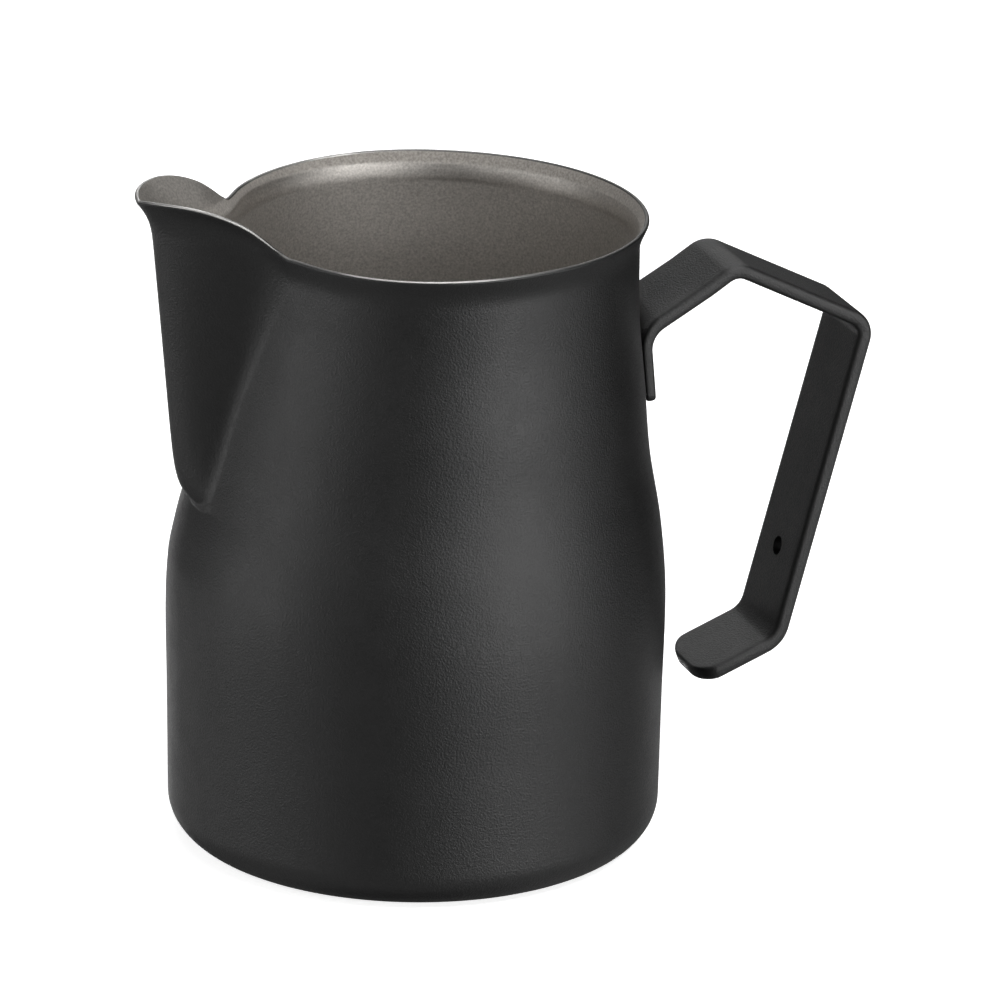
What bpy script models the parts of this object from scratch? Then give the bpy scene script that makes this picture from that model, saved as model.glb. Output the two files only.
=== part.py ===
"""Milk frothing pitcher: a drawn steel cup with a pressed spout, and a bent flat-bar handle.

Metres, +Z up. The origin is the centre of the resting face, the spout points along -X and
the handle along +X. The pitcher is symmetric about the XZ plane.
"""

import math

import bmesh
import bpy
from mathutils import Matrix, Vector

COLLECTION_NAME = "milk_frothing_pitcher"

# Cup: heights run up from the resting face and radii run out from the cup's axis.
RIM_HEIGHT = 0.1102
WALL_THICKNESS = 0.0008
FOOT_CORNER_RADIUS = 0.0067
# (height, outer radius) up the drawn wall: belly, shoulder, cone and upright neck.
WALL_STATIONS = (
    (0.0067, 0.0425),
    (0.0250, 0.0427),
    (0.0440, 0.0429),
    (0.0563, 0.0418),
    (0.0687, 0.03965),
    (0.0811, 0.0385),
    (0.0935, 0.0373),
    (0.1060, 0.0371),
)
# The lip flares out evenly over its depth, from a rounded bend.
LIP_FLARE = 0.00162
LIP_DEPTH = 0.0037
LIP_BEND_BLEND = 0.0007

# Spout: angles run round the axis from the spout's middle line.
SPOUT_BASE_HEIGHT = 0.0625
SPOUT_REACH_AT_BASE = 0.04276
SPOUT_LEAN = 0.0893
SPOUT_SWELL_HEIGHT = 0.0026
NOSE_RADIUS_AT_BASE = 0.0081
NOSE_RADIUS_MIDWAY = 0.0030
NOSE_RADIUS_AT_RIM = 0.0057
POUR_LIP_FLARE = 0.0026
POUR_LIP_WIDENING = 0.0030
POUR_LIP_DEPTH = 0.0089
POUR_LIP_RISE = 0.00735
POUR_LIP_TIP_DROP = 0.0012
POUR_LIP_FOOT_BLEND = 0.0037
POUR_LIP_CREST_ANGLE = math.radians(10.6)
POUR_LIP_EDGE_ANGLE = math.radians(28.4)
# The wall beside the spout is drawn in, most at the rim, and the rim dips a little there.
SIDE_DRAW_IN = 0.0064
SIDE_DRAW_ANGLE = math.radians(94.0)
SIDE_DRAW_BOTTOM = 0.0508
RIM_DIP = 0.00055
RIM_DIP_ANGLE = math.radians(57.0)
RIM_DIP_HALF_ANGLE = math.radians(53.0)
VALLEY_BLEND_AT_BASE = 0.0004
VALLEY_BLEND_MIDWAY = 0.0016
VALLEY_BLEND_AT_RIM = 0.0068
WEB_HEIGHT = 0.0006
WEB_RUN = 0.004
# Powers that hold a change back until near the rim.
POUR_LIP_POWER = 3
NOSE_POWER = 3
VALLEY_POWER = 3
WEB_POWER = 4

# Handle: a flat bar with rounded edges, bent in the XZ plane.
BAR_WIDTH = 0.0175
BAR_THICKNESS = 0.0025
TAB_THICKNESS = 0.0018
WELD_GAP = 0.0003
TAB_BOTTOM_HEIGHT = 0.0757
TAB_TOP_HEIGHT = 0.0881
# (x, z, bend radius) of each corner of the bar's middle line after the tab.
BAR_CORNERS = (
    (0.0544, 0.0983, 0.0039),
    (0.0788, 0.0864, 0.0036),
    (0.0640, 0.0299, 0.0052),
)
BAR_END = (0.0496, 0.0238)
TAB_BEND_RADIUS = 0.0052
BAR_END_DEPTH = 0.0038
BAR_END_FLAT_WIDTH = 0.0056
BAR_EDGE_SQUARENESS = 0.6
TAB_FLATTENING_LENGTH = 0.009
HANGING_HOLE_RADIUS = 0.0017
HANGING_HOLE_HEIGHT = 0.0440

# Weld spots: two small discs between the tab and the wall, side by side, each in a pocket.
WELD_HEIGHT = 0.0818
WELD_SPACING = 0.0090
WELD_RADIUS = 0.0020
WELD_THICKNESS = 0.0006
POCKET_CUTTER_OVERLAP = 0.0006
WALL_SLOPE_STEP = 0.001

# Base colour, metallic and roughness of each material.
CUP_COATING = ((0.03, 0.03, 0.03), 0.0, 0.55)
BAR_COATING = ((0.032, 0.032, 0.032), 0.0, 0.5)
BARE_STEEL = ((0.56, 0.55, 0.53), 1.0, 0.35)

# Fineness of the faceted surfaces.
SPOUT_SIDE_ANGLE = math.radians(36.0)
SPOUT_SIDE_COLUMNS = 12
BACK_SIDE_COLUMNS = 16
FOOT_CORNER_ROWS = 4
BASE_RINGS = 2
# Bands of rows up the wall: belly, shoulder, spout base, neck and lip, with each one's rows.
BELLY_TOP = 0.0398
SHOULDER_TOP = 0.0612
SPOUT_BASE_TOP = 0.0692
NECK_TOP = 0.1022
BELLY_ROWS = 3
SHOULDER_ROWS = 4
SPOUT_BASE_ROWS = 6
NECK_ROWS = 4
LIP_ROWS = 7
EDGE_STEPS = 4
FACE_STEPS = 4
BEND_STEPS = 5
TAB_STEPS = 4
TAB_FLATTENING_STEPS = 3
BAR_END_STEPS = 4
HOLE_SEGMENTS = 24
HOLE_CUTTER_LENGTH = 0.008
WELD_SEGMENTS = 24
SHARP_ANGLE = math.radians(35.0)


# Outline of the cup


def smooth_max(first, second, blend):
    """The larger value, rounded off where the two are within blend of each other."""
    overlap = max(blend - abs(first - second), 0.0)
    return max(first, second) + overlap * overlap / (4.0 * blend)


def ramp(value, start, end):
    """0 below start and 1 above end, with a straight run between them."""
    return min(max((value - start) / (end - start), 0.0), 1.0)


def station_slope(index):
    """Slope of the wall at one station, from its two neighbours."""
    low = WALL_STATIONS[max(index - 1, 0)]
    high = WALL_STATIONS[min(index + 1, len(WALL_STATIONS) - 1)]
    return (high[1] - low[1]) / (high[0] - low[0])


def wall_radius(height):
    """Outer radius of the round wall, before the lip and the spout."""
    if height <= WALL_STATIONS[0][0]:
        return WALL_STATIONS[0][1]
    if height >= WALL_STATIONS[-1][0]:
        return WALL_STATIONS[-1][1]
    index = 0
    while WALL_STATIONS[index + 1][0] < height:
        index += 1
    low, high = WALL_STATIONS[index], WALL_STATIONS[index + 1]
    run = high[0] - low[0]
    t = (height - low[0]) / run
    start = (2 * t**3 - 3 * t**2 + 1) * low[1] + (t**3 - 2 * t**2 + t) * run * station_slope(index)
    end = (3 * t**2 - 2 * t**3) * high[1] + (t**3 - t**2) * run * station_slope(index + 1)
    return start + end


def rim_height(angle):
    """Height of the rim: level at the back, dipped beside the spout and raised along it."""
    angle = abs(angle)
    rise = POUR_LIP_RISE
    if angle < POUR_LIP_CREST_ANGLE:
        rise -= POUR_LIP_TIP_DROP * (1.0 - angle / POUR_LIP_CREST_ANGLE) ** 2
    else:
        run = POUR_LIP_EDGE_ANGLE - POUR_LIP_CREST_ANGLE
        rise *= 1.0 - ((angle - POUR_LIP_CREST_ANGLE) / run) ** 2
    dip = 0.0
    offset = (angle - RIM_DIP_ANGLE) / RIM_DIP_HALF_ANGLE
    if abs(offset) < 1.0:
        dip = RIM_DIP * 0.5 * (1.0 + math.cos(math.pi * offset))
    return RIM_HEIGHT - dip + smooth_max(rise, 0.0, POUR_LIP_FOOT_BLEND)


def side_draw(angle, height):
    """How far the wall is drawn in beside the spout."""
    if abs(angle) >= SIDE_DRAW_ANGLE:
        return 0.0
    up = ramp(height, SIDE_DRAW_BOTTOM, RIM_HEIGHT)
    around = 0.5 * (1.0 + math.cos(math.pi * angle / SIDE_DRAW_ANGLE))
    return SIDE_DRAW_IN * up * around


def nose_outline(angle, reach, nose_radius):
    """Distance from the axis to a parabola whose tip is at reach, with nose_radius at its tip."""
    across = math.sin(angle) ** 2
    along = math.cos(angle)
    return 2.0 * reach / (along + math.sqrt(along * along + 2.0 * reach * across / nose_radius))


def cup_radius(angle, height):
    """Outer radius of the finished cup, with its spout and lip."""
    below_rim = rim_height(angle) - height
    lip = smooth_max(LIP_FLARE * (1.0 - below_rim / LIP_DEPTH), 0.0, LIP_BEND_BLEND)
    round_wall = wall_radius(height) - side_draw(angle, height) + lip
    if abs(angle) > math.pi / 2 or height < SPOUT_BASE_HEIGHT - SPOUT_SWELL_HEIGHT:
        return round_wall
    up = ramp(height, SPOUT_BASE_HEIGHT, RIM_HEIGHT)
    pour_lip = (1.0 - ramp(below_rim, 0.0, POUR_LIP_DEPTH)) ** POUR_LIP_POWER
    wall_at_base = wall_radius(SPOUT_BASE_HEIGHT) - side_draw(0.0, SPOUT_BASE_HEIGHT)
    base_step = SPOUT_REACH_AT_BASE - wall_at_base
    above_base = height - SPOUT_BASE_HEIGHT
    baseness = math.exp(-above_base / SPOUT_SWELL_HEIGHT)
    reach = SPOUT_REACH_AT_BASE + SPOUT_LEAN * above_base
    reach += POUR_LIP_FLARE * pour_lip - base_step * baseness
    nose_radius = NOSE_RADIUS_MIDWAY + (NOSE_RADIUS_AT_BASE - NOSE_RADIUS_MIDWAY) * baseness
    nose_radius += (NOSE_RADIUS_AT_RIM - NOSE_RADIUS_MIDWAY) * up**NOSE_POWER
    nearness = 1.0 - ramp(abs(angle), 0.0, POUR_LIP_EDGE_ANGLE) ** 2
    nose_radius += POUR_LIP_WIDENING * pour_lip * nearness
    blend = VALLEY_BLEND_MIDWAY
    blend += (VALLEY_BLEND_AT_RIM - VALLEY_BLEND_MIDWAY) * up**VALLEY_POWER
    blend -= (VALLEY_BLEND_MIDWAY - VALLEY_BLEND_AT_BASE) * min(baseness, 1.0)
    nose = nose_outline(angle, reach, nose_radius)
    web = WEB_HEIGHT * (1.0 - up**WEB_POWER) * (1.0 - min(baseness, 1.0))
    webbed_wall = round_wall + web * math.exp(min(nose - round_wall, 0.0) / WEB_RUN)
    return smooth_max(webbed_wall, nose, blend)


def cup_point(angle, height):
    """Point on the outside of the wall; the rows above the spout's base rise with the rim."""
    if height > SPOUT_BASE_HEIGHT:
        share = (height - SPOUT_BASE_HEIGHT) / (RIM_HEIGHT - SPOUT_BASE_HEIGHT)
        height = SPOUT_BASE_HEIGHT + share * (rim_height(angle) - SPOUT_BASE_HEIGHT)
    radius = cup_radius(angle, height)
    return Vector((-radius * math.cos(angle), -radius * math.sin(angle), height))


def spread(start, end, count):
    """Evenly spaced values from start up to end, with end left out."""
    return [start + (end - start) * step / count for step in range(count)]


def column_angles():
    """Angles round the cup, close together on the spout and wider at the back."""
    half = spread(0.0, SPOUT_SIDE_ANGLE, SPOUT_SIDE_COLUMNS)
    half += spread(SPOUT_SIDE_ANGLE, math.pi, BACK_SIDE_COLUMNS)
    return half + [math.pi] + [-angle for angle in reversed(half[1:])]


def row_heights():
    """Heights of the wall's rows, close together at the spout's base and at the lip."""
    heights = spread(FOOT_CORNER_RADIUS, BELLY_TOP, BELLY_ROWS)
    heights += spread(BELLY_TOP, SHOULDER_TOP, SHOULDER_ROWS)
    heights += spread(SHOULDER_TOP, SPOUT_BASE_TOP, SPOUT_BASE_ROWS)
    heights += spread(SPOUT_BASE_TOP, NECK_TOP, NECK_ROWS)
    heights += spread(NECK_TOP, RIM_HEIGHT, LIP_ROWS)
    return heights + [RIM_HEIGHT]


# Blender helpers


def clear_scene():
    for item in list(bpy.data.objects):
        bpy.data.objects.remove(item, do_unlink=True)


def make_collection(name, parent):
    collection = bpy.data.collections.new(name)
    parent.children.link(collection)
    return collection


def make_material(name, color, metallic, roughness):
    material = bpy.data.materials.new(name)
    material.use_nodes = True
    shader = material.node_tree.nodes["Principled BSDF"]
    shader.inputs["Base Color"].default_value = (*color, 1.0)
    shader.inputs["Metallic"].default_value = metallic
    shader.inputs["Roughness"].default_value = roughness
    material.diffuse_color = (*color, 1.0)
    return material


def make_object(name, mesh_builder, collection, material=None):
    """A mesh object from a bmesh, which it frees."""
    mesh = bpy.data.meshes.new(name)
    mesh_builder.to_mesh(mesh)
    mesh_builder.free()
    item = bpy.data.objects.new(name, mesh)
    collection.objects.link(item)
    if material:
        mesh.materials.append(material)
    return item


def shade(item):
    mesh = item.data
    mesh.shade_smooth()
    mesh.set_sharp_from_angle(angle=SHARP_ANGLE)


def make_cutter(name, mesh_builder, collection):
    cutter = make_object(name, mesh_builder, collection)
    cutter.hide_render = True
    cutter.display_type = "WIRE"
    return cutter


def cut(item, cutter):
    modifier = item.modifiers.new("cut_" + cutter.name, "BOOLEAN")
    modifier.operation = "DIFFERENCE"
    modifier.solver = "EXACT"
    modifier.object = cutter


def disc_matrix(place, axis):
    """A disc's place: its centre, and its axis turned to the given direction."""
    return Matrix.Translation(place) @ axis.to_track_quat("Z", "Y").to_matrix().to_4x4()


def disc_builder(radius, length, segments, matrix):
    """A closed cylinder whose axis is local Z, moved by matrix."""
    builder = bmesh.new()
    bmesh.ops.create_cone(
        builder,
        cap_ends=True,
        segments=segments,
        radius1=radius,
        radius2=radius,
        depth=length,
        matrix=matrix,
    )
    return builder


def join_loops(builder, lower, upper):
    """Quads between two closed loops of the same length."""
    for index in range(len(lower)):
        following = (index + 1) % len(lower)
        builder.faces.new((lower[index], lower[following], upper[following], upper[index]))


# Cup


def foot_rings():
    """(radius, height) of each ring on the flat base and round the foot's corner."""
    flat_radius = WALL_STATIONS[0][1] - FOOT_CORNER_RADIUS
    rings = [(radius, 0.0) for radius in spread(0.0, flat_radius, BASE_RINGS)[1:]]
    for turn in spread(0.0, math.pi / 2, FOOT_CORNER_ROWS):
        radius = flat_radius + FOOT_CORNER_RADIUS * math.sin(turn)
        rings.append((radius, FOOT_CORNER_RADIUS * (1.0 - math.cos(turn))))
    return rings


def build_cup(collection, material):
    """The outer skin lofted from the round foot to the spouted rim, thickened inwards."""
    builder = bmesh.new()
    angles = column_angles()
    rows = []
    for radius, height in foot_rings():
        rows.append([Vector((-radius * math.cos(a), -radius * math.sin(a), height)) for a in angles])
    rows += [[cup_point(angle, height) for angle in angles] for height in row_heights()]
    loops = [[builder.verts.new(point) for point in row] for row in rows]
    centre = builder.verts.new((0.0, 0.0, 0.0))
    for index in range(len(angles)):
        builder.faces.new((centre, loops[0][(index + 1) % len(angles)], loops[0][index]))
    for lower, upper in zip(loops, loops[1:]):
        join_loops(builder, lower, upper)
    cup = make_object("cup_body", builder, collection, material)
    shell = cup.modifiers.new("wall", "SOLIDIFY")
    shell.thickness = WALL_THICKNESS
    shell.offset = -1.0
    shell.use_even_offset = True
    shell.use_quality_normals = True
    shade(cup)
    return cup


# Handle


def bar_middle_line():
    """(point, direction, length so far) along the bar's middle line in the XZ plane."""
    seat = WELD_GAP + TAB_THICKNESS / 2
    bottom = Vector((wall_radius(TAB_BOTTOM_HEIGHT) + seat, TAB_BOTTOM_HEIGHT))
    top = Vector((wall_radius(TAB_TOP_HEIGHT) + seat, TAB_TOP_HEIGHT))
    corners = [(bottom, 0.0), (top, TAB_BEND_RADIUS)]
    corners += [(Vector((x, z)), radius) for x, z, radius in BAR_CORNERS]
    corners.append((Vector(BAR_END), 0.0))
    line = [(bottom, (top - bottom).normalized())]
    for (before, _), (corner, radius), (after, _) in zip(corners, corners[1:], corners[2:]):
        inward = (corner - before).normalized()
        outward = (after - corner).normalized()
        turn = inward.angle_signed(outward)
        setback = radius * math.tan(abs(turn) / 2)
        start = corner - inward * setback
        side = Vector((-inward.y, inward.x)) * (-1.0 if turn > 0 else 1.0)
        centre = start + side * radius
        for step in range(BEND_STEPS + 1):
            part = -turn * step / BEND_STEPS
            rotation = Matrix.Rotation(part, 2)
            line.append((centre + rotation @ (start - centre), rotation @ inward))
    line.append((corners[-1][0], (corners[-1][0] - corners[-2][0]).normalized()))
    return add_stations(line)


def add_stations(line):
    """Adds stations where the tab flattens and where the free end narrows, and the lengths."""
    lengths = [0.0]
    for (before, _), (after, _) in zip(line, line[1:]):
        lengths.append(lengths[-1] + (after - before).length)
    total = lengths[-1]
    tab_length = lengths[1]
    bend_end = lengths[BEND_STEPS + 1]
    wanted = spread(0.0, tab_length, TAB_STEPS)[1:]
    wanted += spread(bend_end + TAB_FLATTENING_LENGTH, bend_end, TAB_FLATTENING_STEPS)
    turns = spread(0.0, math.pi / 2, BAR_END_STEPS)
    wanted += [total - BAR_END_DEPTH * (1.0 - math.sin(turn)) for turn in turns]
    stations = [(length, *entry) for length, entry in zip(lengths, line)]
    for length in wanted:
        index = max(i for i in range(len(lengths) - 1) if lengths[i] <= length)
        part = (length - lengths[index]) / (lengths[index + 1] - lengths[index])
        point = line[index][0].lerp(line[index + 1][0], part)
        stations.append((length, point, line[index + 1][1]))
    stations.sort(key=lambda station: station[0])
    return stations, tab_length, bend_end, total


def bar_half_width(to_end):
    """Half the bar's width at that distance from its free end, which is rounded to an oval."""
    narrowing = 1.0 - (BAR_END_FLAT_WIDTH / BAR_WIDTH) ** 2
    drop = ramp(to_end, BAR_END_DEPTH, 0.0)
    return BAR_WIDTH / 2 * math.sqrt(1.0 - narrowing * drop * drop)


def bar_section(half_width, thickness):
    """(across, out) points round the bar's section: two flat faces and two rounded edges."""
    radius = thickness / 2
    flat = half_width - radius
    section = []
    for sign in (1, -1):
        for turn in spread(-math.pi / 2, math.pi / 2, EDGE_STEPS):
            across = flat + radius * math.cos(turn) ** BAR_EDGE_SQUARENESS
            out = radius * math.copysign(abs(math.sin(turn)) ** BAR_EDGE_SQUARENESS, turn)
            section.append((sign * across, sign * out))
        section += [(sign * across, sign * radius) for across in spread(flat, -flat, FACE_STEPS)]
    return section


def tab_sag(across, length, bend_end, height):
    """How far the bar curves back round the wall: fully on the tab, not at all past the bend."""
    flatness = ramp(length, bend_end, bend_end + TAB_FLATTENING_LENGTH)
    radius = wall_radius(height) + WELD_GAP + TAB_THICKNESS / 2
    return (radius - math.sqrt(radius * radius - across * across)) * (1.0 - flatness)


def build_handle(collection, cutters, material):
    """The bar swept along its middle line, with weld pockets and a hanging hole."""
    builder = bmesh.new()
    stations, tab_length, bend_end, total = bar_middle_line()
    loops = []
    for length, point, direction in stations:
        half_width = bar_half_width(total - length)
        thickening = ramp(length, tab_length, bend_end)
        thickness = TAB_THICKNESS + (BAR_THICKNESS - TAB_THICKNESS) * thickening
        outward = Vector((direction.y, -direction.x))
        loop = []
        for across, out in bar_section(half_width, thickness):
            place = point + outward * out
            sag = tab_sag(across, length, bend_end, point.y)
            loop.append(builder.verts.new((place.x - sag, across, place.y)))
        loops.append(loop)
    for lower, upper in zip(loops, loops[1:]):
        join_loops(builder, lower, upper)
    builder.faces.new(loops[0])
    builder.faces.new(loops[-1])
    bmesh.ops.recalc_face_normals(builder, faces=builder.faces)
    handle = make_object("handle_strap", builder, collection, material)
    depth = WELD_THICKNESS + WELD_GAP + POCKET_CUTTER_OVERLAP
    for index, side in enumerate((-1, 1), start=1):
        place = weld_matrix(side, depth / 2 - POCKET_CUTTER_OVERLAP)
        pocket = disc_builder(WELD_RADIUS + WELD_GAP, depth, WELD_SEGMENTS, place)
        cut(handle, make_cutter(f"weld_pocket_cutter_{index}", pocket, cutters))
    hole = disc_builder(HANGING_HOLE_RADIUS, HOLE_CUTTER_LENGTH, HOLE_SEGMENTS, hole_matrix())
    cut(handle, make_cutter("hanging_hole_cutter", hole, cutters))
    shade(handle)
    return handle


def hole_matrix():
    """The hanging hole's axis: square to the grip, through the middle of its width."""
    top = Vector(BAR_CORNERS[1][:2])
    bottom = Vector(BAR_CORNERS[2][:2])
    part = (HANGING_HOLE_HEIGHT - bottom.y) / (top.y - bottom.y)
    place = bottom.lerp(top, part)
    along = (top - bottom).normalized()
    return disc_matrix(Vector((place.x, 0.0, place.y)), Vector((along.y, 0.0, -along.x)))


# Weld spots


def weld_matrix(side, out):
    """A disc's place on the wall: side is -1 or 1, and out is measured from the tab's inner face."""
    radius = wall_radius(WELD_HEIGHT)
    angle = math.asin(side * WELD_SPACING / 2 / radius)
    rise = wall_radius(WELD_HEIGHT + WALL_SLOPE_STEP) - wall_radius(WELD_HEIGHT - WALL_SLOPE_STEP)
    slope = rise / (2.0 * WALL_SLOPE_STEP)
    normal = Vector((math.cos(angle), math.sin(angle), -slope)).normalized()
    wall = Vector((radius * math.cos(angle), radius * math.sin(angle), WELD_HEIGHT))
    return disc_matrix(wall + normal * (WELD_GAP + out), normal)


def build_weld_spot(name, side, collection, material):
    """One disc in one of the tab's pockets."""
    place = weld_matrix(side, WELD_THICKNESS / 2)
    builder = disc_builder(WELD_RADIUS, WELD_THICKNESS, WELD_SEGMENTS, place)
    spot = make_object(name, builder, collection, material)
    shade(spot)
    return spot


def main():
    clear_scene()
    scene_collection = bpy.context.scene.collection
    pitcher = make_collection(COLLECTION_NAME, scene_collection)
    cutters = make_collection("cutters", scene_collection)
    cutters.hide_render = True
    black_coating = make_material("matte_black_coating", *CUP_COATING)
    bar_coating = make_material("matte_black_bar_coating", *BAR_COATING)
    bare_steel = make_material("bare_steel", *BARE_STEEL)
    build_cup(pitcher, black_coating)
    build_handle(pitcher, cutters, bar_coating)
    build_weld_spot("weld_spot_front", -1, pitcher, bare_steel)
    build_weld_spot("weld_spot_rear", 1, pitcher, bare_steel)


main()
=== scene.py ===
"""Looks of the milk frothing pitcher: coated cup and handle, bare steel inside, studio and camera.

Metres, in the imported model's frame: +Z up, the spout along -X and the handle along +X, with the
origin at the centre of the resting face.
"""

import math

import bmesh
import bpy
from mathutils import Matrix, Vector

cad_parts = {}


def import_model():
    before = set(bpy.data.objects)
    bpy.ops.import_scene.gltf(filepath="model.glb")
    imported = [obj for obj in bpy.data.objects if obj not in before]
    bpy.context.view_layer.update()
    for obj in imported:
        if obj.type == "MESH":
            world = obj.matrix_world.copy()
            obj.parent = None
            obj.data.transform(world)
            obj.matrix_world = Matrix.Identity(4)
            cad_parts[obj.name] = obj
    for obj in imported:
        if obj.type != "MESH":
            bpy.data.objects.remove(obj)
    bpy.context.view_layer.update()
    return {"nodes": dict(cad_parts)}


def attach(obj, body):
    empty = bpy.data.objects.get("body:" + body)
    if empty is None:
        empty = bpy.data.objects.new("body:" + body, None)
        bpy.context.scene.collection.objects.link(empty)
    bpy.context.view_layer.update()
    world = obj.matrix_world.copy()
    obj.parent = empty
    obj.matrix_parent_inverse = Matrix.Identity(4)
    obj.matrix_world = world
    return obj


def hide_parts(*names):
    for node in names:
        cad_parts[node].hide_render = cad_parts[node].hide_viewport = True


# Cup, as designed in the CAD: radii run out from the axis, heights up from the resting face.
RIM_HEIGHT = 0.1102
WALL_THICKNESS = 0.0008
FOOT_CORNER_RADIUS = 0.0067
# (height, outer radius) up the drawn wall: belly, shoulder, cone and upright neck.
WALL_STATIONS = (
    (0.0067, 0.0425),
    (0.0250, 0.0427),
    (0.0440, 0.0429),
    (0.0563, 0.0418),
    (0.0687, 0.03965),
    (0.0811, 0.0385),
    (0.0935, 0.0373),
    (0.1060, 0.0371),
)
# The lip flares out evenly over its depth, from a rounded bend.
LIP_FLARE = 0.00162
LIP_DEPTH = 0.0037
LIP_BEND_BLEND = 0.0007

# Spout: angles run round the axis from the spout's middle line.
SPOUT_BASE_HEIGHT = 0.0625
SPOUT_REACH_AT_BASE = 0.04276
SPOUT_LEAN = 0.0893
SPOUT_SWELL_HEIGHT = 0.0026
NOSE_RADIUS_AT_BASE = 0.0081
NOSE_RADIUS_MIDWAY = 0.0030
NOSE_RADIUS_AT_RIM = 0.0057
POUR_LIP_FLARE = 0.0026
POUR_LIP_WIDENING = 0.0030
POUR_LIP_DEPTH = 0.0089
POUR_LIP_RISE = 0.00735
POUR_LIP_TIP_DROP = 0.0012
POUR_LIP_FOOT_BLEND = 0.0037
POUR_LIP_CREST_ANGLE = math.radians(10.6)
POUR_LIP_EDGE_ANGLE = math.radians(28.4)
# The wall beside the spout is drawn in, most at the rim, and the rim dips a little there.
SIDE_DRAW_IN = 0.0064
SIDE_DRAW_ANGLE = math.radians(94.0)
SIDE_DRAW_BOTTOM = 0.0508
RIM_DIP = 0.00055
RIM_DIP_ANGLE = math.radians(57.0)
RIM_DIP_HALF_ANGLE = math.radians(53.0)
VALLEY_BLEND_AT_BASE = 0.0004
VALLEY_BLEND_MIDWAY = 0.0016
VALLEY_BLEND_AT_RIM = 0.0068
WEB_HEIGHT = 0.0006
WEB_RUN = 0.004
# Powers that hold a change back until near the rim.
POUR_LIP_POWER = 3
NOSE_POWER = 3
VALLEY_POWER = 3
WEB_POWER = 4
# A fine ridge along the foot of the spout, which fades out up its sides.
RIDGE_HEIGHT = 0.0004
RIDGE_HALF_WIDTH = 0.0006
RIDGE_OFFSET = 0.0003
RIDGE_FADE_START = 0.0626
RIDGE_FADE_END = 0.0644

# Handle: a flat bar with rounded edges, bent in the XZ plane.
BAR_WIDTH = 0.0175
BAR_THICKNESS = 0.0025
TAB_THICKNESS = 0.0018
WELD_GAP = 0.0003
TAB_BOTTOM_HEIGHT = 0.0757
TAB_TOP_HEIGHT = 0.0881
TAB_BEND_RADIUS = 0.0052
# (x, z, bend radius) of each corner of the bar's middle line after the tab.
BAR_CORNERS = (
    (0.0544, 0.0983, 0.0039),
    (0.0788, 0.0864, 0.0036),
    (0.0640, 0.0299, 0.0052),
)
BAR_END = (0.0496, 0.0238)
BAR_END_DEPTH = 0.0038
BAR_END_FLAT_WIDTH = 0.0056
BAR_EDGE_SQUARENESS = 0.6
BAR_END_EDGE_RADIUS = 0.0007
TAB_END_CORNER_RADIUS = 0.0015
TAB_FLATTENING_LENGTH = 0.009
HANGING_HOLE_RADIUS = 0.0017
HANGING_HOLE_HEIGHT = 0.0440

# Fineness of the visible surfaces.
SPOUT_SIDE_ANGLE = math.radians(36.0)
SPOUT_SIDE_COLUMNS = 72
BACK_SIDE_COLUMNS = 96
FOOT_CORNER_ROWS = 14
BASE_RINGS = 6
# Bands of rows up the wall: belly, spout base, neck and lip, with each one's rows.
BELLY_TOP = 0.0600
SPOUT_BASE_TOP = 0.0700
NECK_TOP = 0.1022
BELLY_ROWS = 44
SPOUT_BASE_ROWS = 50
NECK_ROWS = 32
LIP_ROWS = 24
# Steps over the half-round rim, the first few of them coated.
RIM_STEPS = 12
COATED_RIM_STEPS = 4
EDGE_STEPS = 12
FACE_STEPS = 11
BEND_STEPS = 16
END_STEPS = 10
TAB_STEPS = 12
TAB_FLATTENING_STEPS = 8
HOLE_SEGMENTS = 64
HOLE_CUTTER_LENGTH = 0.008
SHARP_ANGLE = math.radians(50.0)

# Range that noise mostly covers, and its fine and coarse levels of detail.
NOISE_LOW = 0.3
NOISE_HIGH = 0.7
FINE_DETAIL = 3.0
COARSE_DETAIL = 2.0

# Coating: its base shade, how strongly it shines outside, how weakly it shines inside the hanging
# hole, which paints shade there, the size and depth of its grain and of the unevenness under the
# grain, and how each varies its roughness.
COATING_SHADES = (0.00075, 0.00225)
COATING_SHINE = 0.78
HOLE_PAINTED_SHADE_SHINE = 0.08
GRAIN_SIZE = 0.00034
GRAIN_DEPTH = 0.00009
GRAIN_ROUGHNESS = (0.06, -0.06)
PATCH_SIZE = 0.006
PATCH_DEPTH = 0.00002
PATCH_ROUGHNESS = (0.47, 0.51)

# Bare steel inside: the colours, size and depth of its grit, and the size, depth, stretch and
# roughness of the lines turned round it.
STEEL_COLORS = ((0.411, 0.39, 0.366), (0.617, 0.588, 0.551))
GRIT_SIZE = 0.0004
GRIT_DEPTH = 0.00002
TURNED_LINE_SIZE = 0.0005
TURNED_LINE_DEPTH = 0.000003
TURNED_LINE_STRETCH = (0.05, 0.05, 1.0)
TURNED_LINE_ROUGHNESS = (-0.03, 0.03)

# (height, roughness) of the bare steel: the wall, the smoother bend of the lip, the lip's flare
# and the part of the spout that stands above the rest of the rim.
STEEL_ROUGHNESS = (
    (0.1047, 0.65),
    (0.1056, 0.45),
    (0.1080, 0.45),
    (0.1087, 0.80),
    (0.1102, 0.80),
    (0.1112, 0.58),
)

# Steel of the rim: the colours, size and roughness of its wear, and its painted highlight and
# shade as (place along X, shade) stops from the spout's tip to the handle's side.
RIM_COLORS = ((0.78, 0.77, 0.75), (1.0, 0.985, 0.96))
RIM_WEAR_SIZE = 0.0025
RIM_ROUGHNESS = (0.40, 0.48)
RIM_PAINTED_LIGHT = (
    (-0.0500, 0.55),
    (-0.0440, 0.60),
    (-0.0360, 0.33),
    (-0.0310, 0.20),
    (-0.0240, 0.24),
    (-0.0205, 0.55),
    (-0.0080, 0.62),
    (-0.0020, 0.52),
    (0.0020, 0.22),
    (0.0380, 0.18),
)

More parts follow.
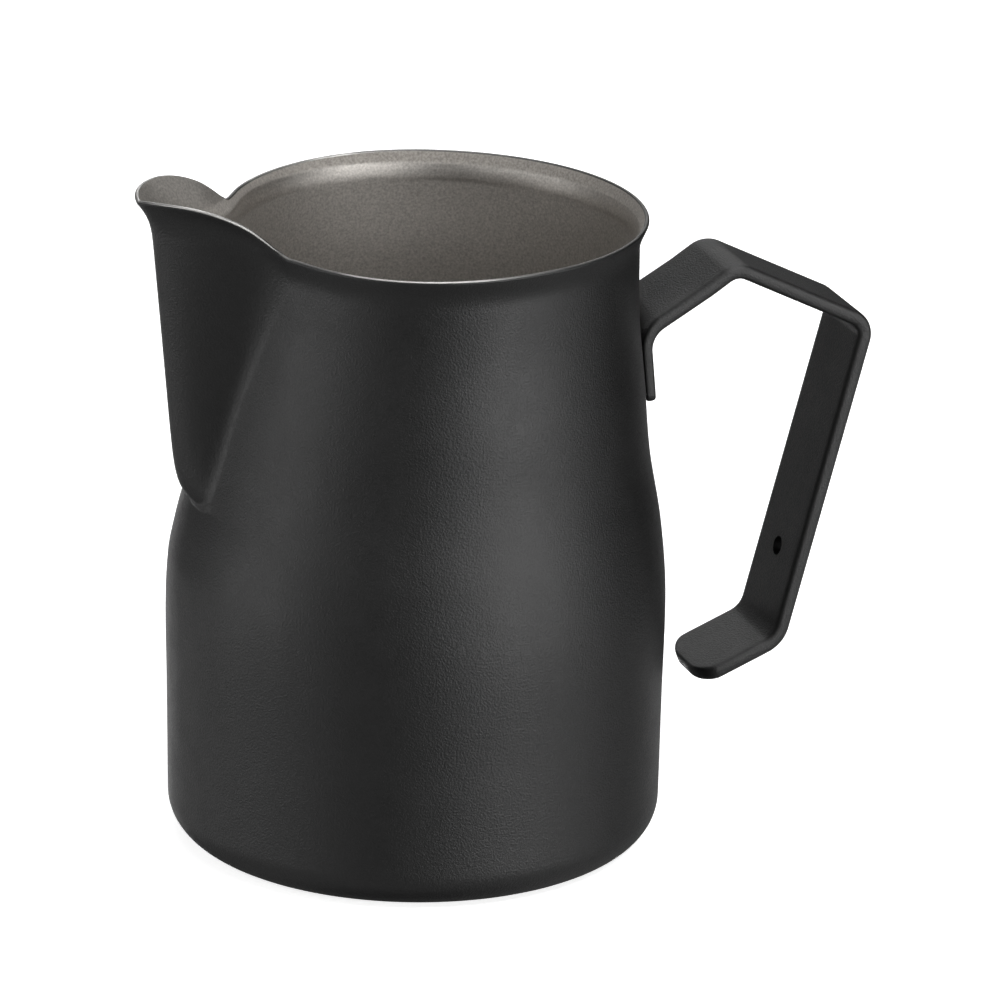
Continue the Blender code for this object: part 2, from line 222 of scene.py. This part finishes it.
# Camera, in the pitcher's own frame.
CAMERA_PLACE = Vector((-0.372770, -1.111171, 0.465821))
CAMERA_TARGET = Vector((0.015044, 0.0, 0.057638))
CAMERA_ROLL = math.radians(1.0245)
CAMERA_LENS_MM = 261.04
CAMERA_SENSOR_MM = 36.0
CAMERA_NEAR = 0.05
CAMERA_FAR = 20.0
CAMERA_AZIMUTH = math.radians(-18.5)

# Studio light, in rows of soft boxes that are alike: (elevation, azimuths from the camera's,
# side, power in watts of each box). No two boxes share a place, which would lose light.
SOFT_BOX_DISTANCE = 1.6
SOFT_BOX_ROWS = (
    # Below the horizon: a soft fill all round, and one strong box behind the pitcher.
    (-50, range(-90, 136, 45), 1.0, 0.8),
    (-50, (180, 225), 1.0, 0.3),
    (-22, (-150, -135, -120, -105, 135, 150, 165), 0.42, 0.3),
    (-22, (-45, 90), 0.42, 0.75),
    (-22, (-165,), 0.42, 1.0),
    (-22, (180,), 0.42, 7.1),
    # About level with the pitcher: strips at its left and right, and a dim one behind it.
    (-8, (-165, -90, -75, -60), 0.42, 1.1),
    (-8, (30, 45, 60), 0.42, 2.3),
    (6, (-75,), 0.42, 1.5),
    (6, (45, 60, 75), 0.42, 1.0),
    (6, (180, 195), 0.42, 0.55),
    (6, range(210, 271, 15), 0.42, 0.15),
    # Above: the strongest box at the right, with others in front, at the left and behind.
    (20, (15, 30, 45), 0.42, 1.4),
    (35, (-75, -45), 0.5, 2.2),
    (35, (165, 195), 0.5, 1.6),
    (52, (45,), 0.5, 11.0),
    (70, (180,), 0.6, 6.0),
    (70, (-60, 0), 0.6, 1.3),
)
WORLD_BRIGHTNESS = 0.012
FLOOR_HALF_SIZE = 6.0
FLOOR_SHADE = 0.9
FLOOR_ROUGHNESS = 0.9
FLOOR_GLOW = 0.8


# Outline of the cup


def smooth_max(first, second, blend):
    """The larger value, rounded off where the two are within blend of each other."""
    overlap = max(blend - abs(first - second), 0.0)
    return max(first, second) + overlap * overlap / (4.0 * blend)


def ramp(value, start, end):
    """0 below start and 1 above end, with a straight run between them."""
    return min(max((value - start) / (end - start), 0.0), 1.0)


def station_slope(index):
    """Slope of the wall at one station, from its two neighbours."""
    low = WALL_STATIONS[max(index - 1, 0)]
    high = WALL_STATIONS[min(index + 1, len(WALL_STATIONS) - 1)]
    return (high[1] - low[1]) / (high[0] - low[0])


def wall_radius(height):
    """Outer radius of the round wall, before the lip and the spout."""
    if height <= WALL_STATIONS[0][0]:
        return WALL_STATIONS[0][1]
    if height >= WALL_STATIONS[-1][0]:
        return WALL_STATIONS[-1][1]
    index = 0
    while WALL_STATIONS[index + 1][0] < height:
        index += 1
    low, high = WALL_STATIONS[index], WALL_STATIONS[index + 1]
    run = high[0] - low[0]
    part = (height - low[0]) / run
    rest = 1.0 - part
    start = (1.0 + 2.0 * part) * low[1] + part * run * station_slope(index)
    end = (1.0 + 2.0 * rest) * high[1] - rest * run * station_slope(index + 1)
    return rest**2 * start + part**2 * end


def rim_height(angle):
    """Height of the rim: level at the back, dipped beside the spout and raised along it."""
    angle = abs(angle)
    rise = POUR_LIP_RISE
    if angle < POUR_LIP_CREST_ANGLE:
        rise -= POUR_LIP_TIP_DROP * (1.0 - angle / POUR_LIP_CREST_ANGLE) ** 2
    else:
        run = POUR_LIP_EDGE_ANGLE - POUR_LIP_CREST_ANGLE
        rise *= 1.0 - ((angle - POUR_LIP_CREST_ANGLE) / run) ** 2
    dip = 0.0
    offset = (angle - RIM_DIP_ANGLE) / RIM_DIP_HALF_ANGLE
    if abs(offset) < 1.0:
        dip = RIM_DIP * 0.5 * (1.0 + math.cos(math.pi * offset))
    return RIM_HEIGHT - dip + smooth_max(rise, 0.0, POUR_LIP_FOOT_BLEND)


def side_draw(angle, height):
    """How far the wall is drawn in beside the spout."""
    if abs(angle) >= SIDE_DRAW_ANGLE:
        return 0.0
    up = ramp(height, SIDE_DRAW_BOTTOM, RIM_HEIGHT)
    around = 0.5 * (1.0 + math.cos(math.pi * angle / SIDE_DRAW_ANGLE))
    return SIDE_DRAW_IN * up * around


def nose_outline(angle, reach, nose_radius):
    """Distance from the axis to a parabola whose tip is at reach, with nose_radius at its tip."""
    across = math.sin(angle) ** 2
    along = math.cos(angle)
    return 2.0 * reach / (along + math.sqrt(along * along + 2.0 * reach * across / nose_radius))


def foot_ridge(overhang, height):
    """Height of the ridge where the spout stands out from the round wall by overhang."""
    fading = 1.0 - ramp(height, RIDGE_FADE_START, RIDGE_FADE_END)
    return RIDGE_HEIGHT * math.exp(-(((overhang + RIDGE_OFFSET) / RIDGE_HALF_WIDTH) ** 2)) * fading


def cup_radius(angle, height, ridged):
    """Outer radius of the finished cup, with its spout and lip, and with the ridge if ridged."""
    below_rim = rim_height(angle) - height
    lip = smooth_max(LIP_FLARE * (1.0 - below_rim / LIP_DEPTH), 0.0, LIP_BEND_BLEND)
    round_wall = wall_radius(height) - side_draw(angle, height) + lip
    if abs(angle) > math.pi / 2 or height < SPOUT_BASE_HEIGHT - SPOUT_SWELL_HEIGHT:
        return round_wall
    up = ramp(height, SPOUT_BASE_HEIGHT, RIM_HEIGHT)
    pour_lip = (1.0 - ramp(below_rim, 0.0, POUR_LIP_DEPTH)) ** POUR_LIP_POWER
    wall_at_base = wall_radius(SPOUT_BASE_HEIGHT) - side_draw(0.0, SPOUT_BASE_HEIGHT)
    base_step = SPOUT_REACH_AT_BASE - wall_at_base
    above_base = height - SPOUT_BASE_HEIGHT
    baseness = math.exp(-above_base / SPOUT_SWELL_HEIGHT)
    reach = SPOUT_REACH_AT_BASE + SPOUT_LEAN * above_base
    reach += POUR_LIP_FLARE * pour_lip - base_step * baseness
    nose_radius = NOSE_RADIUS_MIDWAY + (NOSE_RADIUS_AT_BASE - NOSE_RADIUS_MIDWAY) * baseness
    nose_radius += (NOSE_RADIUS_AT_RIM - NOSE_RADIUS_MIDWAY) * up**NOSE_POWER
    nearness = 1.0 - ramp(abs(angle), 0.0, POUR_LIP_EDGE_ANGLE) ** 2
    nose_radius += POUR_LIP_WIDENING * pour_lip * nearness
    blend = VALLEY_BLEND_MIDWAY
    blend += (VALLEY_BLEND_AT_RIM - VALLEY_BLEND_MIDWAY) * up**VALLEY_POWER
    blend -= (VALLEY_BLEND_MIDWAY - VALLEY_BLEND_AT_BASE) * min(baseness, 1.0)
    nose = nose_outline(angle, reach, nose_radius)
    web = WEB_HEIGHT * (1.0 - up**WEB_POWER) * (1.0 - min(baseness, 1.0))
    webbed_wall = round_wall + web * math.exp(min(nose - round_wall, 0.0) / WEB_RUN)
    ridge = foot_ridge(nose - round_wall, height) if ridged else 0.0
    return smooth_max(webbed_wall, nose, blend) + ridge


def cup_point(angle, height, ridged):
    """Point on the outside of the wall; the rows above the spout's base rise with the rim."""
    if height > SPOUT_BASE_HEIGHT:
        share = (height - SPOUT_BASE_HEIGHT) / (RIM_HEIGHT - SPOUT_BASE_HEIGHT)
        height = SPOUT_BASE_HEIGHT + share * (rim_height(angle) - SPOUT_BASE_HEIGHT)
    radius = cup_radius(angle, height, ridged)
    return Vector((-radius * math.cos(angle), -radius * math.sin(angle), height))


def spread(start, end, count):
    """Evenly spaced values from start up to end, with end left out."""
    return [start + (end - start) * step / count for step in range(count)]


def column_angles():
    """Angles round the cup, close together on the spout and wider at the back."""
    half = spread(0.0, SPOUT_SIDE_ANGLE, SPOUT_SIDE_COLUMNS)
    half += spread(SPOUT_SIDE_ANGLE, math.pi, BACK_SIDE_COLUMNS)
    return half + [math.pi] + [-angle for angle in reversed(half[1:])]


def row_heights():
    """Heights of the wall's rows, close together at the spout's base and at the lip."""
    wall_top = RIM_HEIGHT - WALL_THICKNESS / 2
    heights = spread(FOOT_CORNER_RADIUS, BELLY_TOP, BELLY_ROWS)
    heights += spread(BELLY_TOP, SPOUT_BASE_TOP, SPOUT_BASE_ROWS)
    heights += spread(SPOUT_BASE_TOP, NECK_TOP, NECK_ROWS)
    heights += spread(NECK_TOP, wall_top, LIP_ROWS)
    return heights + [wall_top]


# Node materials


def new_material(name):
    """A material with its Principled shader: (material, nodes, links, shader)."""
    material = bpy.data.materials.new(name)
    material.use_nodes = True
    tree = material.node_tree
    return material, tree.nodes, tree.links, tree.nodes["Principled BSDF"]


def object_position(nodes, links, stretch=(1.0, 1.0, 1.0)):
    """Object coordinates, scaled by stretch."""
    coordinates = nodes.new("ShaderNodeTexCoord")
    mapping = nodes.new("ShaderNodeMapping")
    mapping.inputs["Scale"].default_value = stretch
    links.new(coordinates.outputs["Object"], mapping.inputs["Vector"])
    return mapping.outputs["Vector"]


def noise(nodes, links, position, feature_size, detail):
    """Noise whose features are about feature_size metres across."""
    texture = nodes.new("ShaderNodeTexNoise")
    texture.inputs["Scale"].default_value = 1.0 / feature_size
    texture.inputs["Detail"].default_value = detail
    links.new(position, texture.inputs["Vector"])
    return texture.outputs["Fac"]


def color_range(nodes, links, value, low, high):
    """Colors from low to high over the range that noise mostly covers."""
    color_ramp = nodes.new("ShaderNodeValToRGB")
    color_ramp.color_ramp.elements[0].position = NOISE_LOW
    color_ramp.color_ramp.elements[0].color = (*low, 1.0)
    color_ramp.color_ramp.elements[1].position = NOISE_HIGH
    color_ramp.color_ramp.elements[1].color = (*high, 1.0)
    links.new(value, color_ramp.inputs["Fac"])
    return color_ramp.outputs["Color"]


def number_range(nodes, links, value, low, high):
    """Numbers from low to high over the range that noise mostly covers."""
    mapped = nodes.new("ShaderNodeMapRange")
    mapped.inputs["From Min"].default_value = NOISE_LOW
    mapped.inputs["From Max"].default_value = NOISE_HIGH
    mapped.inputs["To Min"].default_value = low
    mapped.inputs["To Max"].default_value = high
    links.new(value, mapped.inputs["Value"])
    return mapped.outputs["Result"]


def bump(nodes, links, height, depth, normal=None):
    """A bump of that depth in metres, over an earlier bump if one is given."""
    node = nodes.new("ShaderNodeBump")
    node.inputs["Strength"].default_value = 1.0
    node.inputs["Distance"].default_value = depth
    links.new(height, node.inputs["Height"])
    if normal:
        links.new(normal, node.inputs["Normal"])
    return node.outputs["Normal"]


def sum_of(nodes, links, first, second):
    """The two values added together."""
    total = nodes.new("ShaderNodeMath")
    total.operation = "ADD"
    links.new(first, total.inputs[0])
    links.new(second, total.inputs[1])
    return total.outputs["Value"]


def coating_material(name, shine):
    """Sprayed matte black: a fine pebbled grain over a slight unevenness."""
    material, nodes, links, shader = new_material(name)
    position = object_position(nodes, links)
    grain = noise(nodes, links, position, GRAIN_SIZE, FINE_DETAIL)
    patches = noise(nodes, links, position, PATCH_SIZE, COARSE_DETAIL)
    dark, light = [(shade, shade, shade) for shade in COATING_SHADES]
    links.new(color_range(nodes, links, grain, dark, light), shader.inputs["Base Color"])
    over_patches = number_range(nodes, links, patches, *PATCH_ROUGHNESS)
    over_grain = number_range(nodes, links, grain, *GRAIN_ROUGHNESS)
    links.new(sum_of(nodes, links, over_patches, over_grain), shader.inputs["Roughness"])
    shader.inputs["Specular IOR Level"].default_value = shine
    coarse = bump(nodes, links, patches, PATCH_DEPTH)
    links.new(bump(nodes, links, grain, GRAIN_DEPTH, coarse), shader.inputs["Normal"])
    return material


def profile_along(nodes, links, position, axis, stops):
    """A value that follows the (place along the axis, value) stops smoothly."""
    start, end = stops[0][0], stops[-1][0]
    separate = nodes.new("ShaderNodeSeparateXYZ")
    links.new(position, separate.inputs["Vector"])
    mapped = nodes.new("ShaderNodeMapRange")
    mapped.inputs["From Min"].default_value = start
    mapped.inputs["From Max"].default_value = end
    links.new(separate.outputs[axis], mapped.inputs["Value"])
    profile = nodes.new("ShaderNodeValToRGB")
    profile.color_ramp.interpolation = "EASE"
    elements = profile.color_ramp.elements
    for place, _ in stops[1:-1]:
        elements.new((place - start) / (end - start))
    for element, (_, value) in zip(elements, stops):
        element.color = (value, value, value, 1.0)
    links.new(mapped.outputs["Result"], profile.inputs["Fac"])
    return profile.outputs["Color"]


def bare_steel_material():
    """Satin steel inside the cup: fine grit, faint turned lines and a smoother bend at the lip."""
    material, nodes, links, shader = new_material("bare_satin_steel")
    position = object_position(nodes, links)
    grit = noise(nodes, links, position, GRIT_SIZE, FINE_DETAIL)
    stretched_position = object_position(nodes, links, TURNED_LINE_STRETCH)
    lines = noise(nodes, links, stretched_position, TURNED_LINE_SIZE, COARSE_DETAIL)
    links.new(color_range(nodes, links, grit, *STEEL_COLORS), shader.inputs["Base Color"])
    shader.inputs["Metallic"].default_value = 1.0
    over_height = profile_along(nodes, links, position, "Z", STEEL_ROUGHNESS)
    over_lines = number_range(nodes, links, lines, *TURNED_LINE_ROUGHNESS)
    links.new(sum_of(nodes, links, over_height, over_lines), shader.inputs["Roughness"])
    turned = bump(nodes, links, lines, TURNED_LINE_DEPTH)
    links.new(bump(nodes, links, grit, GRIT_DEPTH, turned), shader.inputs["Normal"])
    return material


def rim_steel_material():
    """The cut and rounded rim, brighter along part of its way round from painted highlight and
    shade.
    """
    material, nodes, links, shader = new_material("bright_rim_steel")
    position = object_position(nodes, links)
    wear = noise(nodes, links, position, RIM_WEAR_SIZE, FINE_DETAIL)
    # Painted highlight and shade: the rim's worn colour is scaled by a profile along X.
    painted_rim_light = nodes.new("ShaderNodeVectorMath")
    painted_rim_light.operation = "SCALE"
    links.new(color_range(nodes, links, wear, *RIM_COLORS), painted_rim_light.inputs["Vector"])
    links.new(profile_along(nodes, links, position, "X", RIM_PAINTED_LIGHT), painted_rim_light.inputs["Scale"])
    links.new(painted_rim_light.outputs["Vector"], shader.inputs["Base Color"])
    shader.inputs["Metallic"].default_value = 1.0
    links.new(number_range(nodes, links, wear, *RIM_ROUGHNESS), shader.inputs["Roughness"])
    return material


# Pieces


def finish_piece(name, builder, materials, nodes):
    """A smooth-shaded piece that rides on the root body and stands for the CAD nodes."""
    mesh = bpy.data.meshes.new(name)
    builder.to_mesh(mesh)
    builder.free()
    for material in materials:
        mesh.materials.append(material)
    piece = bpy.data.objects.new(name, mesh)
    bpy.context.scene.collection.objects.link(piece)
    mesh.shade_smooth()
    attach(piece, "root")
    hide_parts(*nodes)
    return piece


def join_loops(builder, lower, upper, material_index=0):
    """Quads between two closed loops of the same length."""
    for index in range(len(lower)):
        following = (index + 1) % len(lower)
        corners = (lower[index], lower[following], upper[following], upper[index])
        builder.faces.new(corners).material_index = material_index


def close_loop(builder, loop, centre, material_index, upward):
    """A fan of triangles from a loop to a point in its middle."""
    middle = builder.verts.new(centre)
    for index in range(len(loop)):
        pair = [loop[index], loop[(index + 1) % len(loop)]]
        if not upward:
            pair.reverse()
        builder.faces.new((middle, *pair)).material_index = material_index


def outer_rows(angles, ridged):
    """Rows of points from the middle of the base, round the foot and up to the rim."""
    flat_radius = WALL_STATIONS[0][1] - FOOT_CORNER_RADIUS
    rings = [(flat_radius * ring / BASE_RINGS, 0.0) for ring in range(1, BASE_RINGS)]
    for turn in spread(0.0, math.pi / 2, FOOT_CORNER_ROWS):
        radius = flat_radius + FOOT_CORNER_RADIUS * math.sin(turn)
        rings.append((radius, FOOT_CORNER_RADIUS * (1.0 - math.cos(turn))))
    rows = [[Vector((-r * math.cos(a), -r * math.sin(a), z)) for a in angles] for r, z in rings]
    for height in row_heights():
        rows.append([cup_point(angle, height, ridged) for angle in angles])
    return rows


def row_frames(rows):
    """(normal, upward direction) at each point, from its neighbours."""
    count = len(rows[0])
    frames = []
    for index, row in enumerate(rows):
        below = rows[max(index - 1, 0)]
        above = rows[min(index + 1, len(rows) - 1)]
        frames.append([])
        for column in range(count):
            along = row[(column + 1) % count] - row[column - 1]
            upward = (above[column] - below[column]).normalized()
            frames[-1].append((along.cross(upward).normalized(), upward))
    return frames


def build_cup(materials):
    """One closed wall: coated outside, a half-round bare rim, and bare steel inside."""
    coated, bare, rim = range(len(materials))
    angles = column_angles()
    rows = outer_rows(angles, False)
    frames = row_frames(rows)
    builder = bmesh.new()
    outside = [[builder.verts.new(point) for point in row] for row in outer_rows(angles, True)]
    inside = []
    for row, row_frame in zip(rows, frames):
        shifted = [p - normal * WALL_THICKNESS for p, (normal, _) in zip(row, row_frame)]
        inside.append([builder.verts.new(point) for point in shifted])
    rim_loops = [outside[-1]]
    half = WALL_THICKNESS / 2
    for step in range(1, RIM_STEPS):
        turn = math.pi * step / RIM_STEPS
        loop = []
        for point, (normal, upward) in zip(rows[-1], frames[-1]):
            centre = point - normal * half
            round_point = centre + half * (math.cos(turn) * normal + math.sin(turn) * upward)
            loop.append(builder.verts.new(round_point))
        rim_loops.append(loop)
    rim_loops.append(inside[-1])
    for lower, upper in zip(outside, outside[1:]):
        join_loops(builder, lower, upper, coated)
    for step, (lower, upper) in enumerate(zip(rim_loops, rim_loops[1:])):
        join_loops(builder, lower, upper, coated if step < COATED_RIM_STEPS else rim)
    for lower, upper in zip(inside, inside[1:]):
        join_loops(builder, upper, lower, bare)
    close_loop(builder, outside[0], (0.0, 0.0, 0.0), coated, False)
    close_loop(builder, inside[0], (0.0, 0.0, WALL_THICKNESS), bare, True)
    return finish_piece("cup", builder, materials, ["cup_body"])


def bar_middle_line():
    """(length so far, point, direction) along the bar's middle line, and where its bends end."""
    seat = WELD_GAP + TAB_THICKNESS / 2
    bottom = Vector((wall_radius(TAB_BOTTOM_HEIGHT) + seat, TAB_BOTTOM_HEIGHT))
    top = Vector((wall_radius(TAB_TOP_HEIGHT) + seat, TAB_TOP_HEIGHT))
    corners = [(bottom, 0.0), (top, TAB_BEND_RADIUS)]
    corners += [(Vector((x, z)), radius) for x, z, radius in BAR_CORNERS]
    corners.append((Vector(BAR_END), 0.0))
    line = [(bottom, (top - bottom).normalized())]
    for (before, _), (corner, radius), (after, _) in zip(corners, corners[1:], corners[2:]):
        inward = (corner - before).normalized()
        outward = (after - corner).normalized()
        turn = inward.angle_signed(outward)
        setback = radius * math.tan(abs(turn) / 2)
        start = corner - inward * setback
        side = Vector((-inward.y, inward.x)) * (-1.0 if turn > 0 else 1.0)
        centre = start + side * radius
        for step in range(BEND_STEPS + 1):
            rotation = Matrix.Rotation(-turn * step / BEND_STEPS, 2)
            line.append((centre + rotation @ (start - centre), rotation @ inward))
    line.append((corners[-1][0], (corners[-1][0] - corners[-2][0]).normalized()))
    lengths = [0.0]
    for (before, _), (after, _) in zip(line, line[1:]):
        lengths.append(lengths[-1] + (after - before).length)
    return [(length, *entry) for length, entry in zip(lengths, line)]


def end_lengths(corner_radius):
    """Distances from a bar's end, close together where its corners and its edge turn in."""
    turns = spread(math.pi / 2, 0.0, END_STEPS)
    edge = [BAR_END_EDGE_RADIUS * (1.0 - math.sin(turn)) for turn in turns]
    corner = [corner_radius * (1.0 - math.sin(turn)) for turn in turns]
    return sorted(set(edge + corner + [corner_radius]))


def with_more_stations(line):
    """The line with stations added on the tab, past its bend and at both ends."""
    total = line[-1][0]
    tab_length = line[1][0]
    bend_end = line[BEND_STEPS + 1][0]
    wanted = spread(0.0, tab_length, TAB_STEPS)[1:]
    wanted += spread(bend_end + TAB_FLATTENING_LENGTH, bend_end, TAB_FLATTENING_STEPS)
    wanted += end_lengths(TAB_END_CORNER_RADIUS)[1:]
    wanted += [total - length for length in end_lengths(BAR_END_DEPTH)[1:]]
    stations = list(line)
    for length in wanted:
        index = max(i for i in range(len(line) - 1) if line[i][0] <= length)
        low, high = line[index], line[index + 1]
        part = (length - low[0]) / (high[0] - low[0])
        stations.append((length, low[1].lerp(high[1], part), high[2]))
    stations.sort(key=lambda station: station[0])
    return stations, tab_length, bend_end, total


def turned_in(to_end, radius):
    """How far an edge has turned in at that distance from an end with rounded corners."""
    if to_end >= radius:
        return 0.0
    return radius - math.sqrt(max(radius**2 - (radius - to_end) ** 2, 0.0))


def bar_half_width(to_end):
    """Half the bar's width at that distance from its free end, which is rounded to an oval."""
    narrowing = 1.0 - (BAR_END_FLAT_WIDTH / BAR_WIDTH) ** 2
    drop = ramp(to_end, BAR_END_DEPTH, 0.0)
    return BAR_WIDTH / 2 * math.sqrt(1.0 - narrowing * drop * drop)


def bar_section(half_width, thickness):
    """(across, out) points round the bar's section: two flat faces and two rounded edges."""
    radius = thickness / 2
    flat = half_width - radius
    section = []
    for sign in (1, -1):
        for turn in spread(-math.pi / 2, math.pi / 2, EDGE_STEPS):
            across = flat + radius * math.cos(turn) ** BAR_EDGE_SQUARENESS
            out = radius * math.copysign(abs(math.sin(turn)) ** BAR_EDGE_SQUARENESS, turn)
            section.append((sign * across, sign * out))
        section += [(sign * across, sign * radius) for across in spread(flat, -flat, FACE_STEPS)]
    return section


def tab_sag(across, length, bend_end, height):
    """How far the bar curves back round the wall: fully on the tab, not at all past the bend."""
    flatness = ramp(length, bend_end, bend_end + TAB_FLATTENING_LENGTH)
    radius = wall_radius(height) + WELD_GAP + TAB_THICKNESS / 2
    return (radius - math.sqrt(radius * radius - across * across)) * (1.0 - flatness)


def build_handle(coating, painted_shade_hole_coating):
    """The bent bar with rounded ends and its hanging hole."""
    builder = bmesh.new()
    stations, tab_length, bend_end, total = with_more_stations(bar_middle_line())
    loops = []
    for length, point, direction in stations:
        thickening = ramp(length, tab_length, bend_end)
        thickness = TAB_THICKNESS + (BAR_THICKNESS - TAB_THICKNESS) * thickening
        half_width = bar_half_width(total - length)
        half_width -= turned_in(length, TAB_END_CORNER_RADIUS)
        thickness -= 2 * turned_in(min(length, total - length), BAR_END_EDGE_RADIUS)
        outward = Vector((direction.y, -direction.x))
        loop = []
        for across, out in bar_section(half_width, thickness):
            place = point + outward * out
            sag = tab_sag(across, length, bend_end, point.y)
            loop.append(builder.verts.new((place.x - sag, across, place.y)))
        loops.append(loop)
    for lower, upper in zip(loops, loops[1:]):
        join_loops(builder, lower, upper)
    builder.faces.new(loops[0])
    builder.faces.new(loops[-1])
    bmesh.ops.recalc_face_normals(builder, faces=builder.faces)
    handle = finish_piece("handle", builder, (coating,), ["handle_strap"])
    cut_hanging_hole(handle, painted_shade_hole_coating)
    handle.data.set_sharp_from_angle(angle=SHARP_ANGLE)
    return handle


def cut_hanging_hole(handle, painted_shade_hole_coating):
    """A round hole square to the grip, through the middle of its width."""
    top = Vector(BAR_CORNERS[1][:2])
    bottom = Vector(BAR_CORNERS[2][:2])
    part = (HANGING_HOLE_HEIGHT - bottom.y) / (top.y - bottom.y)
    place = bottom.lerp(top, part)
    along = (top - bottom).normalized()
    axis = Vector((along.y, 0.0, -along.x))
    matrix = Matrix.Translation((place.x, 0.0, place.y))
    matrix = matrix @ axis.to_track_quat("Z", "Y").to_matrix().to_4x4()
    builder = bmesh.new()
    bmesh.ops.create_cone(
        builder,
        cap_ends=True,
        segments=HOLE_SEGMENTS,
        radius1=HANGING_HOLE_RADIUS,
        radius2=HANGING_HOLE_RADIUS,
        depth=HOLE_CUTTER_LENGTH,
        matrix=matrix,
    )
    mesh = bpy.data.meshes.new("hole_cutter")
    builder.to_mesh(mesh)
    builder.free()
    # The hole's walls take the barely shining coating that paints shade inside the hole.
    mesh.materials.append(painted_shade_hole_coating)
    cutter = bpy.data.objects.new("hole_cutter", mesh)
    bpy.context.scene.collection.objects.link(cutter)
    modifier = handle.modifiers.new("hanging_hole", "BOOLEAN")
    modifier.operation = "DIFFERENCE"
    modifier.solver = "EXACT"
    modifier.material_mode = "TRANSFER"
    modifier.object = cutter
    graph = bpy.context.evaluated_depsgraph_get()
    cut_mesh = bpy.data.meshes.new_from_object(handle.evaluated_get(graph))
    handle.modifiers.clear()
    handle.data = cut_mesh
    bpy.data.objects.remove(cutter)


# Studio


def add_soft_box(azimuth, elevation, side, power):
    """A square soft box aimed at the pitcher; azimuth 0 is straight above the camera's side."""
    light = bpy.data.lights.new("soft_box", "AREA")
    light.shape = "SQUARE"
    light.size = side
    light.energy = power
    lamp = bpy.data.objects.new("soft_box", light)
    bpy.context.scene.collection.objects.link(lamp)
    turn = math.radians(azimuth) + CAMERA_AZIMUTH
    rise = math.radians(elevation)
    level = math.cos(rise)
    away = Vector((math.sin(turn) * level, -math.cos(turn) * level, math.sin(rise)))
    lamp.location = Vector((0.0, 0.0, RIM_HEIGHT / 2)) + away * SOFT_BOX_DISTANCE
    lamp.rotation_mode = "QUATERNION"
    lamp.rotation_quaternion = away.to_track_quat("Z", "Y")


def add_floor():
    """A plain pale floor that stays out of the pitcher's reflections."""
    builder = bmesh.new()
    bmesh.ops.create_grid(builder, x_segments=1, y_segments=1, size=FLOOR_HALF_SIZE)
    mesh = bpy.data.meshes.new("floor")
    builder.to_mesh(mesh)
    builder.free()
    material, _, _, shader = new_material("pale_floor")
    shader.inputs["Base Color"].default_value = (FLOOR_SHADE, FLOOR_SHADE, FLOOR_SHADE, 1.0)
    shader.inputs["Roughness"].default_value = FLOOR_ROUGHNESS
    shader.inputs["Specular IOR Level"].default_value = 0.0
    shader.inputs["Emission Color"].default_value = (1.0, 1.0, 1.0, 1.0)
    shader.inputs["Emission Strength"].default_value = FLOOR_GLOW
    mesh.materials.append(material)
    floor = bpy.data.objects.new("floor", mesh)
    bpy.context.scene.collection.objects.link(floor)
    floor.visible_diffuse = False
    floor.visible_glossy = False
    floor.visible_shadow = False


def set_world(brightness):
    world = bpy.data.worlds.new("studio")
    bpy.context.scene.world = world
    world.use_nodes = True
    background = world.node_tree.nodes["Background"]
    background.inputs["Color"].default_value = (1.0, 1.0, 1.0, 1.0)
    background.inputs["Strength"].default_value = brightness


def add_camera():
    data = bpy.data.cameras.new("camera")
    data.lens = CAMERA_LENS_MM
    data.sensor_width = CAMERA_SENSOR_MM
    data.clip_start = CAMERA_NEAR
    data.clip_end = CAMERA_FAR
    camera = bpy.data.objects.new("camera", data)
    bpy.context.scene.collection.objects.link(camera)
    camera.location = CAMERA_PLACE
    aim = (CAMERA_TARGET - CAMERA_PLACE).to_track_quat("-Z", "Y").to_matrix()
    roll = Matrix.Rotation(CAMERA_ROLL, 3, "Z")
    camera.rotation_euler = (aim @ roll).to_euler()
    bpy.context.scene.camera = camera


def main():
    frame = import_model()
    bpy.context.scene.view_settings.view_transform = "Standard"
    coating = coating_material("matte_black_coating", COATING_SHINE)
    bar_coating = coating_material("matte_black_bar_coating", COATING_SHINE)
    # Painted shade: the hanging hole's walls get a coating that barely shines, so they stay dark.
    painted_shade_hole_coating = coating_material("hole_painted_shade_coating", HOLE_PAINTED_SHADE_SHINE)
    bare_steel = bare_steel_material()
    build_cup((coating, bare_steel, rim_steel_material()))
    build_handle(bar_coating, painted_shade_hole_coating)
    for name in ("weld_spot_front", "weld_spot_rear"):
        spot = frame["nodes"][name]
        spot.data.materials.clear()
        spot.data.materials.append(bare_steel)
    add_floor()
    set_world(WORLD_BRIGHTNESS)
    for elevation, azimuths, side, power in SOFT_BOX_ROWS:
        for azimuth in azimuths:
            add_soft_box(azimuth, elevation, side, power)
    add_camera()
    bpy.context.view_layer.update()


main()
